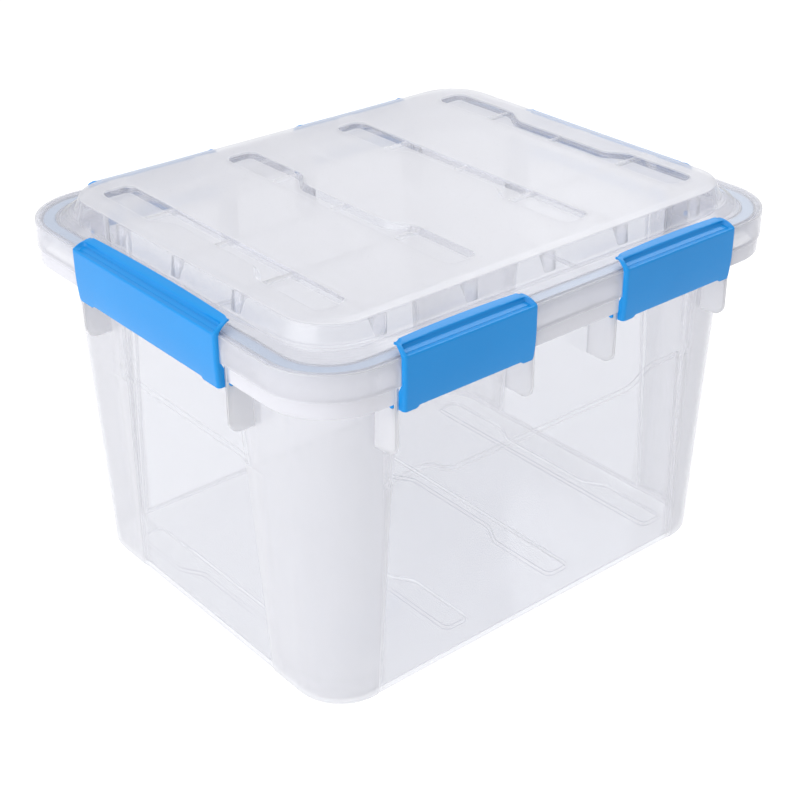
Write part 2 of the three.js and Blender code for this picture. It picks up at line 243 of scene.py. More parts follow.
class Skin:
    """A mesh put together from strips between rings, flat faces with holes, and closed sweeps."""

    def __init__(self):
        self.bm = bmesh.new()

    def ring(self, points):
        """New corner points of the mesh."""
        return [self.bm.verts.new(p) for p in points]

    def bridge(self, a, b, closed=True):
        """Quads between two rings; closed joins the last point of each ring to its first."""
        count = len(a) if closed else len(a) - 1
        for i in range(count):
            j = (i + 1) % len(a)
            self.bm.faces.new((a[i], a[j], b[j], b[i]))

    def strip(self, rings, closed=True, loop=False):
        """Quads between neighbouring rings; loop joins the last ring to the first."""
        made = [self.ring(points) for points in rings]
        for a, b in zip(made, made[1:]):
            self.bridge(a, b, closed)
        if loop:
            self.bridge(made[-1], made[0], closed)
        return made

    def solid_strip(self, rings):
        """A closed body: a strip of rings with its two ends filled."""
        made = self.strip(rings)
        self.bm.faces.new(reversed(made[0]))
        self.bm.faces.new(made[-1])

    def flat(self, outline, holes=()):
        """A level face inside an outline, with holes in it."""
        z = outline[0][2]
        found, faces = fill(outline, holes)
        self.patch([(p.x, p.y, z) for p in found], faces)

    def patch(self, points, faces):
        """Faces given as lists of places in a list of points."""
        verts = self.ring(points)
        for face in faces:
            self.bm.faces.new([verts[i] for i in face])

    def finish(self, name):
        """Welds the seams and makes an object of the mesh, in metres."""
        bmesh.ops.remove_doubles(self.bm, verts=self.bm.verts, dist=WELD)
        bmesh.ops.recalc_face_normals(self.bm, faces=self.bm.faces)
        bmesh.ops.scale(self.bm, vec=(MM, MM, MM), verts=self.bm.verts)
        mesh = bpy.data.meshes.new(name)
        self.bm.to_mesh(mesh)
        self.bm.free()
        mesh.shade_smooth()
        obj = bpy.data.objects.new(name, mesh)
        bpy.context.scene.collection.objects.link(obj)
        return obj


def round_edges(obj, width):
    """Rounds the sharp edges a little."""
    bevel = obj.modifiers.new("edge_rounding", "BEVEL")
    bevel.width = width * MM
    bevel.segments = 2
    bevel.limit_method = "ANGLE"
    bevel.angle_limit = SHARP_ANGLE


def flatten_shading(obj):
    """Keeps broad faces flat in the shading, so that only the small ones look round."""
    weighted = obj.modifiers.new("flat_faces", "WEIGHTED_NORMAL")
    weighted.keep_sharp = True
    weighted.weight = 80


# ------------------------------------------------------------------ where the latches are

PIN_REACH = 5.4
EAR_GAP = 1.2
EAR_THICKNESS = 3.2

LATCHES = []
for joint in frame["record"]["behaviour"]["joints"]:
    if joint["type"] != "hinge":
        continue
    low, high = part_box(joint["child"])
    px, py, pz = (value / MM for value in joint["pos_m"])
    on_end = abs(joint["axis"][1]) > 0.5
    if on_end:
        out = Vector((math.copysign(1.0, px), 0.0))
        face = max(abs(high.x), abs(low.x))
        span = high.y - low.y
    else:
        out = Vector((0.0, math.copysign(1.0, py)))
        face = max(abs(high.y), abs(low.y))
        span = high.x - low.x
    LATCHES.append({
        "name": joint["child"],
        "out": out,
        "face": face / MM,
        "half": span / MM / 2.0 - PIN_REACH,
        "pin": Vector((px, py, pz)),
        "on_end": on_end,
    })

# How far the pins lie behind the latches' faces; the first latch is on a long side.
PIN_IN = LATCHES[0]["face"] - abs(LATCHES[0]["pin"].y)


def side_of(latch):
    """The direction along a latch's face, and the place of the latch's middle in that direction."""
    side = Vector((-latch["out"].y, latch["out"].x))
    return side, Vector((latch["pin"].x, latch["pin"].y)).dot(side)


def place_on(latch, inwards, along, z):
    """A point given by its distance in from a latch's face, its place along that face, and its height."""
    side, centre = side_of(latch)
    flat = latch["out"] * (latch["face"] - inwards) + side * (centre + along)
    return flat.x, flat.y, z


def circle_at_pin(latch, radius):
    """A circle around a latch's pin, as (inset from the face, height) points."""
    points = []
    for k in range(CIRCLE_STEPS):
        a = k / CIRCLE_STEPS * 2.0 * math.pi
        points.append((PIN_IN + radius * math.cos(a), latch["pin"].z + radius * math.sin(a)))
    return points


# ------------------------------------------------------------------ tub


def side_stations(long_side, reach, flank):
    """Places along a side from its middle to its corner, as (place, panel weight)."""
    stations = [(mark * flank, 1.0) for mark in PANEL_MARKS]
    if long_side:
        for place in (DIP_HALF, DIP_SHOULDER):
            stations += [(place - DIP_SOFT, 1.0), (place, 1.0), (place + DIP_SOFT, 1.0)]
    else:
        stations += [(mark * flank, 1.0) for mark in END_PANEL_MARKS]
    stations.append((flank - FLANK_START, 1.0))
    for t in (-1.0, -0.5, 0.0, 0.5, 1.0):
        stations.append((flank + t * FLANK_SOFT, 1.0 - smooth((t + 1.0) / 2.0)))
    stations.append((flank + 0.5 * (reach - flank), 0.0))
    return stations


def wall_ring(z, backed=0.0, spread=0.0, ledge=0.0, panels=1.0):
    """One level of the tub's wall.

    backed moves it inwards by the wall's thickness, and spread moves it further in, for the rounded foot.
    ledge is the share of the panels' upper step reached at this level, and panels fades the panels out.
    """
    lean = COLUMN_DRAFT * max(0.0, z - BASE_FLOOR)
    r = BASE[2] - backed - spread + COLUMN_OPENING * lean
    points = []
    for turn in range(4):
        long_side = turn % 2 == 1
        out_base, reach_base = (BASE[1], BASE[0]) if long_side else (BASE[0], BASE[1])
        panel_plane = PANEL[1] if long_side else PANEL[0]
        column = out_base + lean - backed - spread
        panel = panel_plane + PANEL_DRAFT * z + LEDGE_STEP * ledge - backed - spread
        panel = column + (panel - column) * panels
        reach = reach_base + lean - backed - spread - r
        flank_at, narrowing = SIDE_FLANK if long_side else END_FLANK
        flank = flank_at - narrowing * z + 0.5 * backed
        half = side_stations(long_side, reach, flank)
        angle = turn * math.pi / 2
        ca, sa = math.cos(angle), math.sin(angle)
        places = [(-reach, 0.0)] + [(-s, w) for s, w in reversed(half)] + half[1:]
        for along, weight in places:
            out = column + (panel - column) * weight
            level = z
            if long_side:
                dip = 1.0 - smooth((abs(along) - DIP_HALF) / (DIP_SHOULDER - DIP_HALF))
                nearness = max(0.0, 1.0 - abs(z - LEDGE_Z - backed) / DIP_REACH)
                level = z - LEDGE_DIP * dip * weight * nearness
            points.append((out * ca - along * sa, out * sa + along * ca, level))
        for k in range(ARC_STEPS + 1):
            a = k / ARC_STEPS * math.pi / 2
            x = column - r + r * math.cos(a)
            y = reach + r * math.sin(a)
            points.append((x * ca - y * sa, x * sa + y * ca, z))
    return points


def rim_ring(d, z):
    """A ring of the rim at a distance in from its outer face, with as many points as a wall ring."""
    hx, hy, r = inset(RIM, d)
    points = []
    for turn in range(4):
        long_side = turn % 2 == 1
        out, reach = (hy, hx - r) if long_side else (hx, hy - r)
        flank_at, narrowing = SIDE_FLANK if long_side else END_FLANK
        half = side_stations(long_side, reach, flank_at - narrowing * SHELF_TOP)
        angle = turn * math.pi / 2
        ca, sa = math.cos(angle), math.sin(angle)
        places = [-reach] + [-s for s, _ in reversed(half)] + [s for s, _ in half[1:]]
        for along in places:
            points.append((out * ca - along * sa, out * sa + along * ca, z))
        for k in range(ARC_STEPS + 1):
            a = k / ARC_STEPS * math.pi / 2
            x = out - r + r * math.cos(a)
            y = reach + r * math.sin(a)
            points.append((x * ca - y * sa, x * sa + y * ca, z))
    return points


def wall_levels(backed):
    """(height, ledge share) of each ring of the wall, closer together across the ledge."""
    foot = BASE_FLOOR + BASE_ROUND + (WALL if backed else 0.0)
    ledge = LEDGE_Z + backed
    levels = []
    for k in range(1, LOWER_WALL_STEPS + 1):
        levels.append((foot + (ledge - LEDGE_MARGIN - foot) * k / LOWER_WALL_STEPS, 0.0))
    for k in range(LEDGE_STEPS + 1):
        levels.append((ledge - LEDGE_HALF + 2.0 * LEDGE_HALF * k / LEDGE_STEPS, smooth(k / LEDGE_STEPS)))
    start = ledge + LEDGE_MARGIN
    for k in range(UPPER_WALL_STEPS + 1):
        levels.append((start + (WALL_TOP - start) * k / UPPER_WALL_STEPS, 1.0))
    return levels


def foot_rings(backed):
    """The rounded foot of the wall, from the floor plane outwards and up."""
    floor = BASE_FLOOR + (WALL if backed else 0.0)
    rings = []
    for k in range(FOOT_STEPS + 1):
        a = k / FOOT_STEPS * math.pi / 2
        z = floor + BASE_ROUND * (1.0 - math.cos(a))
        spread = BASE_ROUND * (1.0 - math.sin(a))
        rings.append(wall_ring(z, backed, spread, panels=smooth(k / FOOT_STEPS)))
    return rings


def bone(line, margin, z):
    """The outline of a groove or a foot: one side straight, the other with a lobe at each end.

    line is the place of the straight side and the direction of the other; margin moves the outline inwards.
    """
    x, side = line
    straight = x + side * margin
    lobe = x + side * (LOBE_WIDTH - margin)
    neck = x + side * (NECK_WIDTH - margin)
    tip = GROOVE_TIP - margin
    r = max(TIP_RADIUS - margin, 3 * SMALLEST_RADIUS)
    half = [(straight, mark * tip) for mark in STRAIGHT_MARKS]
    for k in range(TIP_STEPS + 1):
        a = k / TIP_STEPS * math.pi / 2
        half.append((straight + side * r * (1 - math.cos(a)), tip - r * (1 - math.sin(a))))
    for k in range(TIP_STEPS + 1):
        a = k / TIP_STEPS * math.pi / 2
        half.append((lobe - side * r * (1 - math.sin(a)), tip - r * (1 - math.cos(a))))
    for k in range(NECK_STEPS + 1):
        t = k / NECK_STEPS
        along = LOBE_START + 0.5 * margin + (NECK_END - LOBE_START) * t
        half.append((lobe + (neck - lobe) * smooth(t), along))
    points = [(px, py, z) for px, py in half]
    return points + [(px, -py, z) for px, py in reversed(half)]


def bone_rings(line, path):
    """Rings of a groove's wall along a path of (margin, height) points."""
    return [bone(line, margin, z) for margin, z in path]


# Sections of the tub as (inset, height) points. The rim's goes round the shelf's underside, the skirt, the
# upright rim, the shelf and the bead under the gasket; its insets are measured from the rim's outer face.
BEAD_TOP = SHELF_TOP + 2.7
RIM_PATH = rounded([
    (17.0, SHELF_UNDER), (2.6, SHELF_UNDER),
    (2.4, SKIRT_BOTTOM), (0.1, SKIRT_BOTTOM),
    (0.25, RIM_TOP), (2.4, RIM_TOP),
    (2.5, SHELF_TOP), (10.9, SHELF_TOP),
    (11.2, BEAD_TOP), (12.8, BEAD_TOP),
    (13.1, SHELF_TOP), (17.5, SHELF_TOP),
], [1.2, 0.8, 0.8, 1.0, 1.0, 0.9, 0.8, 0.6, 0.6, 0.8])
# Where the wall flares out into the shelf: (distance below the shelf, distance out).
OUTER_FLARE = ((1.2, 0.6), (0.0, 2.4))
INNER_FLARE = ((1.6, 0.8), (0.0, 3.0))
# The feet stand out below the floor and are hollow above; their insets are measured from a groove's outline.
FOOT_UNDER_PATH = rounded([(-2.0, BASE_FLOOR), (0.6, BASE_FLOOR), (1.6, GROUND), (4.0, GROUND)], 0.8)[1:-1]
FOOT_OVER_PATH = rounded(
    [(0.0, BASE_FLOOR + WALL), (2.4, BASE_FLOOR + WALL), (3.4, WALL), (6.0, WALL)], 0.8)[1:-1]


def build_tub():
    """The clear tub: wall, floor with feet, shelf, rim, skirt, band, and ears for the latches' pins."""
    skin = Skin()
    outer = foot_rings(0.0)
    outer += [wall_ring(z, ledge=ledge) for z, ledge in wall_levels(0.0)]
    outer += [wall_ring(SHELF_UNDER - drop, spread=-out, ledge=1.0) for drop, out in OUTER_FLARE]
    rim = [rim_ring(d, z) for d, z in RIM_PATH]
    inner = foot_rings(WALL)
    inner += [wall_ring(z, WALL, ledge=ledge) for z, ledge in wall_levels(WALL)]
    inner += [wall_ring(SHELF_TOP - drop, WALL, spread=-out, ledge=1.0) for drop, out in INNER_FLARE]
    rings = outer + rim + list(reversed(inner))
    skin.strip(rings)

    for path, plane in ((FOOT_UNDER_PATH, rings[0]), (FOOT_OVER_PATH, rings[-1])):
        add_grooves(skin, path, plane)
    for latch in LATCHES:
        add_ears(skin, latch)
    add_band(skin)
    return skin.finish("tub_clear")


def add_grooves(skin, path, plane):
    """Grooves or feet along a path of (margin, height) points, and the level face around them."""
    walls = [bone_rings(line, path) for line in GROOVES]
    for strip in walls:
        skin.strip(strip)
        skin.flat(strip[-1])
    skin.flat(plane, [strip[0] for strip in walls])


EAR_EDGE = 3.0                      # from the rim's outer face
EAR_ROOT = 29.0
EAR_OVERLAP = 0.8
EAR_BOTTOM = 229.0
EAR_RADIUS = 8.0
EAR_ARC_STEPS = 6
BORE_RADIUS = 2.5


def add_ears(skin, latch):
    """The two gussets under the rim that hold a latch's pins, each with a hole for its pin."""
    rim_gap = latch["face"] - (RIM_HX if latch["on_end"] else RIM_HY)
    edge = rim_gap + EAR_EDGE
    root = rim_gap + EAR_ROOT
    top = SHELF_UNDER + EAR_OVERLAP
    r = EAR_RADIUS
    outline = [(root, top), (root, EAR_BOTTOM)]
    for k in range(EAR_ARC_STEPS + 1):
        a = k / EAR_ARC_STEPS * math.pi / 2
        outline.append((edge + r - r * math.sin(a), EAR_BOTTOM + r - r * math.cos(a)))
    outline.append((edge, top))
    bore = circle_at_pin(latch, BORE_RADIUS)
    found, faces = fill(outline, [bore])
    for side in (-1, 1):
        near = side * (latch["half"] + EAR_GAP)
        far = near + side * EAR_THICKNESS
        for loop in (outline, bore):
            skin.strip([[place_on(latch, a, along, z) for a, z in loop] for along in (near, far)])
        for along in (near, far):
            skin.patch([place_on(latch, p.x, along, p.y) for p in found], faces)


BAND_SIDE_STEPS = 60
BAND_TOP = SKIRT_BOTTOM + 1.0
BAND_GAP = 2.0
LATCH_DEPTH = 20.0                  # how far behind its face a latch still covers the band


def add_band(skin):
    """The narrower band under the rim's skirt, which stops at each latch."""
    ring = plain_ring(inset(RIM, BAND_INSET), 0.0, BAND_SIDE_STEPS)
    inner = plain_ring(inset(RIM, BAND_INSET + WALL), 0.0, BAND_SIDE_STEPS)

    def covered(point):
        """True if a latch hides this point of the band."""
        flat = Vector(point[:2])
        for latch in LATCHES:
            side, centre = side_of(latch)
            behind = flat.dot(latch["out"]) > latch["face"] - LATCH_DEPTH
            if behind and abs(flat.dot(side) - centre) < latch["half"] + BAND_GAP:
                return True
        return False

    count = len(ring)
    start = next(i for i in range(count) if covered(ring[i]) and not covered(ring[(i + 1) % count]))
    runs, run = [], []
    for k in range(1, count + 1):
        i = (start + k) % count
        if covered(ring[i]):
            if run:
                runs.append(run)
            run = []
        else:
            run.append(i)
    if run:
        runs.append(run)
    for run in runs:
        section = []
        for i in run:
            ox, oy, _ = ring[i]
            ix, iy, _ = inner[i]
            section.append([
                (ox, oy, BAND_TOP), (ox, oy, BAND_BOTTOM), (ix, iy, BAND_BOTTOM), (ix, iy, BAND_TOP),
            ])
        skin.solid_strip(section)


# ------------------------------------------------------------------ lid


# Sections of the lid as (inset, height) points. Insets of the flange are measured from the rim's outer face,
# those of the dome from the dome's outline, and those of the grooves from a groove's outline.
FLANGE_ROOT = 18.0
FLANGE_PATH = rounded([
    (FLANGE_ROOT, FLANGE_UNDER), (3.3, FLANGE_UNDER), (3.3, FLANGE_TOP), (9.0, FLANGE_TOP),
], 0.7)
# Around the dome's foot the corners are raised, and fall away outwards in fine steps: (distance out, rise).
CORNER_STEPS = (
    (12.6, 0.0), (11.2, 0.0), (10.6, 1.6), (8.6, 1.6), (8.0, 3.4), (6.0, 3.4), (5.4, 5.2), (3.4, 5.2),
)
CORNER_FADE = (2.0, 24.0)           # where the rise begins to fade beside a corner, and how far that takes
DOME_STEP = (2.8, 2.6, 3.2)         # distance out, height over the flange, and rise
DOME_RISE = 2.6
DOME_RISE_FADE = 8.0
DOME_PATH = rounded([
    (-2.2, STEP_TOP), (0.0, STEP_TOP), (4.5, DOME_EDGE), (11.5, LID_TOP), (16.0, LID_TOP),
], [1.2, 1.6, 2.4])
UNDER_PATH = rounded([
    (-3.4, FLANGE_UNDER), (SHELL, FLANGE_UNDER), (4.5 + SHELL, DOME_EDGE - SHELL),
    (11.5 + SHELL, LID_TOP - SHELL), (18.0, LID_TOP - SHELL),
], [0.8, 1.6, 2.0])
GROOVE_FLOOR = LID_TOP - GROOVE_DEPTH
GROOVE_PATH = rounded([
    (-3.0, LID_TOP), (0.0, LID_TOP), (GROOVE_SLOPE, GROOVE_FLOOR), (GROOVE_SLOPE + 3.0, GROOVE_FLOOR),
], 0.9)[1:-1]
TRAY_PATH = rounded([
    (-6.0, LID_TOP - SHELL), (-SHELL, LID_TOP - SHELL), (GROOVE_SLOPE - SHELL, GROOVE_FLOOR - SHELL),
    (GROOVE_SLOPE + 2.0, GROOVE_FLOOR - SHELL),
], 0.9)[1:-1]


def lid_ring(outline, z, corner_rise=0.0):
    """A ring of the lid; corner_rise lifts it towards the corners."""
    points = []
    hx, hy, r = outline
    fade_from, fade_length = CORNER_FADE
    for x, y, level in plain_ring(outline, z):
        side_gap = max(hx - r - abs(x), hy - r - abs(y))
        share = 1.0 - smooth((side_gap - fade_from) / fade_length)
        points.append((x, y, level + corner_rise * share))
    return points


def build_lid():
    """The frosted lid: flange, grooved dome, the same form one wall inside, and the gasket's channel."""
    skin = Skin()
    rings = [lid_ring(inset(RIM, d), z) for d, z in FLANGE_PATH[1:]]
    for out, rise in CORNER_STEPS:
        rings.append(lid_ring(inset(DOME, -out), FLANGE_TOP, rise))
    out, up, rise = DOME_STEP
    rings.append(lid_ring(inset(DOME, -out), FLANGE_TOP + up, rise))
    for d, z in DOME_PATH:
        share = max(0.0, 1.0 - (z - STEP_TOP) / DOME_RISE_FADE)
        rings.append(lid_ring(inset(DOME, d), z, DOME_RISE * share))
    skin.strip(rings)
    add_grooves(skin, GROOVE_PATH, rings[-1])

    edge, edge_z = FLANGE_PATH[1]
    under = [lid_ring(inset(RIM, edge), edge_z), lid_ring(inset(RIM, FLANGE_ROOT), FLANGE_UNDER)]
    under += [lid_ring(inset(DOME, d), z) for d, z in UNDER_PATH]
    skin.strip(under)
    add_grooves(skin, TRAY_PATH, under[-1])

    add_channel(skin)
    return skin.finish("lid_frosted")


CHANNEL_INSETS = (5.2, 16.4)
CHANNEL_WALL = 1.5
CHANNEL_DRAFT = 0.1
CHANNEL_OVERLAP = 0.4
CHANNEL_ROUND = 0.5


def add_channel(skin):
    """The two low walls under the flange that hold the gasket."""
    root = FLANGE_UNDER + CHANNEL_OVERLAP
    for d in CHANNEL_INSETS:
        far = d + CHANNEL_WALL
        section = rounded([
            (d, root), (d + CHANNEL_DRAFT, LID_LOW), (far - CHANNEL_DRAFT, LID_LOW), (far, root),
        ], CHANNEL_ROUND)
        skin.strip([lid_ring(inset(RIM, at), z) for at, z in section], loop=True)


def add_pad(skin, end, inwards, across):
    """A tapered pad at the end of a rib, leaning with the dome's wall."""
    outline = (
        (-PAD_FOOT, PAD_FOOT_Z), (PAD_FOOT, PAD_FOOT_Z), (PAD_HEAD, PAD_HEAD_Z), (-PAD_HEAD, PAD_HEAD_Z),
    )
    faces = []
    for depth in (0.0, PAD_THICKNESS):
        face = []
        for width, z in outline:
            lean = PAD_LEAN * (z - STEP_TOP) / (DOME_EDGE - STEP_TOP)
            face.append((*(end + inwards * (depth + max(0.0, lean)) + across * width), z))
        faces.append(face)
    skin.solid_strip(faces)


def add_rib(skin, start, end):
    """A thin rib from wall to wall, and a pad at each of its ends."""
    start, end = Vector(start), Vector(end)
    length = (end - start).length
    along = (end - start).normalized()
    across = Vector((-along.y, along.x))
    low_end = RIB_END_GAP
    high_end = RIB_END_GAP + RIB_END_SLOPE
    profile = (
        (low_end, RIB_BOTTOM), (length - low_end, RIB_BOTTOM),
        (length - high_end, RIB_TOP), (high_end, RIB_TOP),
    )
    rings = []
    for side in (-RIB_THICKNESS / 2.0, RIB_THICKNESS / 2.0):
        rings.append([(*(start + along * s + across * side), z) for s, z in profile])
    skin.solid_strip(rings)
    add_pad(skin, start, along, across)
    add_pad(skin, end, -along, across)


def build_ribs():
    """Thin stiffening ribs under the lid's top, each ending in a pad on the inside of the dome's wall."""
    skin = Skin()
    reach_x = DOME[0] - RIB_INSET
    reach_y = DOME[1] - RIB_INSET
    for x in RIBS_ACROSS:
        add_rib(skin, (x, -reach_y), (x, reach_y))
    for y in RIBS_ALONG:
        add_rib(skin, (-reach_x, y), (reach_x, y))
    return skin.finish("lid_ribs")


# ------------------------------------------------------------------ gasket


GASKET_WIDTH = 8.8
GASKET_IN = RIM_HX - GASKET_HX


def build_gasket():
    """The gasket ring, flat on top and below, with rounded edges."""
    skin = Skin()
    outer, inner = GASKET_IN, GASKET_IN + GASKET_WIDTH
    section = rounded([
        (outer + 4.0, GASKET_TOP), (outer, GASKET_TOP), (outer, GASKET_LOW), (outer + 4.4, GASKET_LOW),
        (inner, GASKET_LOW), (inner, GASKET_TOP), (inner - 4.0, GASKET_TOP),
    ], [0.9, 0.9, 0.2, 0.9, 0.9])
    skin.strip([plain_ring(inset(RIM, d), z) for d, z in section], loop=True)
    return skin.finish("gasket_ring")


# ------------------------------------------------------------------ latches

PLATE = 1.6
PLATE_BOTTOM = 265.0
KNEE_Z = 283.0
FOLD_Z = 306.4
EDGE_ROUND = 2.6
END_STEPS = 6
RETURN_MARKS = (1.0, 0.66, 0.33)    # as shares of the flat part of a returned end
FACE_STEPS = 56
FACE_CROWDING = 0.6                 # below 1, so that the points of the face crowd towards its ends
END_WALL = 1.5
SHEET_SPREAD = 0.6
RECESS_SOFT = 2.4
NOTCH_SHARE = 0.76
NOTCH_SOFT = 3.0
NOTCH_RISE = 1.8
NOTCH_ROWS = (1.0, 0.6, 0.2)

# Outer face of a latch below the fold.
# Each row: (in, height, narrowing of the half width, depth of the returned ends).
PLATE_ROWS = [
    (1.8, PLATE_BOTTOM - 0.7, 0.9, 8.6),
    (1.3, PLATE_BOTTOM + 1.6, 0.5, 9.0),
    (0.8, PLATE_BOTTOM + 7.0, 0.25, 9.0),
    (0.4, PLATE_BOTTOM + 12.5, 0.1, 7.2),
    (0.1, KNEE_Z, 0.0, 4.6),
    (0.0, KNEE_Z + 6.0, 0.0, 4.2),
    (0.0, 0.5 * (KNEE_Z + FOLD_Z), 0.0, 4.2),
    (0.0, FOLD_Z - 3.0, 0.0, 4.2),
    (0.0, FOLD_Z - 1.2, 0.0, 4.2),
]
# Above the fold the ends stay full while the middle sinks into a finger recess under the lip.
# Each row: (in, height) at the ends, narrowing there, and (in, height) in the middle.
RECESS_ROWS = [
    (0.1, FOLD_Z - 0.4, 0.0, 0.1, FOLD_Z - 0.4),
    (0.3, FOLD_Z + 0.3, 0.05, 0.4, FOLD_Z + 0.2),
    (0.9, FOLD_Z + 0.9, 0.15, 1.0, FOLD_Z + 0.5),
    (1.9, FOLD_Z + 1.6, 0.4, 2.2, FOLD_Z + 0.4),
    (3.3, FOLD_Z + 2.6, 0.7, 4.0, FOLD_Z + 0.3),
    (4.8, FOLD_Z + 3.5, 1.1, 6.2, FOLD_Z + 0.5),
    (6.2, FOLD_Z + 4.2, 1.5, 8.2, FOLD_Z + 1.0),
    (7.4, FOLD_Z + 4.6, 1.9, 9.4, FOLD_Z + 2.2),
    (8.4, FOLD_Z + 4.9, 2.2, 9.8, FOLD_Z + 3.6),
]
# The lip runs inwards from the recess; its free edge is arched, so it is deepest in the middle.
LIP_ROWS = [
    (9.4, FOLD_Z + 5.0, 2.4, 10.0, FOLD_Z + 4.7),
    (10.4, FOLD_Z + 5.1, 2.7, 10.8, FOLD_Z + 5.4),
    (12.6, FOLD_Z + 5.2, 3.1, 14.2, FOLD_Z + 5.9),
    (14.8, FOLD_Z + 5.0, 3.6, 17.4, FOLD_Z + 6.2),
]
# The lips of the two end latches stand a little higher.
END_LATCH_LIFT = 1.1
END_RETURN = 4.2
LIP_END_RETURN = 0.65


def latch_row(half, ends, middle, narrow, returns, arched=False):
    """One row of a latch's skin: a returned end, its rounded edge, the face, and the same mirrored.

    ends and middle are the (in, height) of the face's ends and of its middle.
    """
    r = min(EDGE_ROUND, returns - SHEET_SPREAD)
    w = half - narrow
    corner = []
    for mark in RETURN_MARKS:
        corner.append((ends[0] + r + (returns - r) * mark, w, ends[1]))
    for k in range(END_STEPS):
        a = k / END_STEPS * math.pi / 2
        corner.append((ends[0] + r * (1 - math.sin(a)), w - r * (1 - math.cos(a)), ends[1]))
    face = []
    for k in range(FACE_STEPS + 1):
        share = 1.0 - 2.0 * k / FACE_STEPS
        along = (w - r) * math.copysign(abs(share) ** FACE_CROWDING, share)
        sunk = smooth((w - abs(along) - END_WALL) / RECESS_SOFT)
        bow = 1.0 - (along / half) ** 2 if arched else 1.0
        reach = ends[0] + (middle[0] - ends[0]) * sunk * bow
        height = ends[1] + (middle[1] - ends[1]) * sunk
        face.append((reach, along, height))
    mirrored = [(depth, -along, z) for depth, along, z in reversed(corner)]
    return corner + face + mirrored


def latch_sheet(latch):
    """The latch's outer skin as rows of points, from its bottom edge over the fold to the tip of the lip."""
    half = latch["half"] + SHEET_SPREAD
    grid = [latch_row(half, (d, z), (d, z), narrow, returns) for d, z, narrow, returns in PLATE_ROWS]
    for d, z, narrow, deep, level in RECESS_ROWS:
        grid.append(latch_row(half, (d, z), (deep, level), narrow, END_RETURN))
    lift = END_LATCH_LIFT if latch["on_end"] else 0.0
    for k, (d, z, narrow, deep, level) in enumerate(LIP_ROWS):
        share = (k + 1) / len(LIP_ROWS)
        up = lift * share
        returned = END_RETURN + (LIP_END_RETURN - END_RETURN) * share
        grid.append(latch_row(half, (d, z + up), (deep, level + up), narrow, returned, arched=True))

    # The bottom edge is cut away in the middle and leaves a short foot at each end.
    for i, share in enumerate(NOTCH_ROWS):
        raised = []
        for inwards, along, z in grid[i]:
            middle = 1.0 - smooth((abs(along) - NOTCH_SHARE * half) / NOTCH_SOFT)
            raised.append((inwards, along, z + NOTCH_RISE * middle * share))
        grid[i] = raised
    return grid


def build_latch(latch):
    """The latch's plate with its fold, recess and lip, as a skin that is given its thickness inwards."""
    skin = Skin()
    grid = latch_sheet(latch)
    skin.strip([[place_on(latch, *p) for p in row] for row in grid], closed=False)
    sheet = skin.finish(latch["name"] + "_shell")
    thick = sheet.modifiers.new("plate_thickness", "SOLIDIFY")
    thick.thickness = PLATE * MM
    thick.offset = -1.0
    thick.use_even_offset = True
    return sheet


HOOK = ((4.4, 306.6), (7.8, 306.6), (8.4, 307.2), (8.4, 308.0), (4.4, 307.0))
HOOK_END_GAP = 3.0
CHEEK_RADIUS = 4.1
CHEEK_ARC_STEPS = 8
CHEEK_ARC_FROM = -0.1
CHEEK_ARC_TURN = 0.75 * math.pi
CHEEK_FRONT = ((5.4, 281.0), (1.6, KNEE_Z), (2.2, PLATE_BOTTOM + 6.0), (3.6, PLATE_BOTTOM + 0.8))
CHEEK_FACES = (0.3, 2.6)            # distances of a cheek's outer and inner faces from the latch's end
PIN_RADIUS = 2.1
PIN_TIP_RADIUS = 1.7
PIN_ROOT = 1.0
PIN_CHAMFER = 0.5


def latch_fittings(latch):
    """The parts of a latch behind its plate: the hook over the lid, the cheeks and the stub pins."""
    skin = Skin()
    half = latch["half"]
    hook_half = half - HOOK_END_GAP
    skin.solid_strip([[place_on(latch, a, along, z) for a, z in HOOK] for along in (-hook_half, hook_half)])
    cheek = []
    for k in range(CHEEK_ARC_STEPS + 1):
        a = CHEEK_ARC_TURN * k / CHEEK_ARC_STEPS + CHEEK_ARC_FROM
        cheek.append((PIN_IN + CHEEK_RADIUS * math.sin(a), latch["pin"].z - CHEEK_RADIUS * math.cos(a)))
    cheek += CHEEK_FRONT
    tip = half + PIN_REACH
    pin = ((half - PIN_ROOT, PIN_RADIUS), (tip - PIN_CHAMFER, PIN_RADIUS), (tip, PIN_TIP_RADIUS))
    for side in (-1, 1):
        rings = []
        for gap in CHEEK_FACES:
            rings.append([place_on(latch, a, side * (half - gap), z) for a, z in cheek])
        skin.solid_strip(rings)
        rings = []
        for along, radius in pin:
            rings.append([place_on(latch, a, side * along, z) for a, z in circle_at_pin(latch, radius)])
        skin.solid_strip(rings)
    return skin.finish(latch["name"] + "_hinge")


# ------------------------------------------------------------------ materials


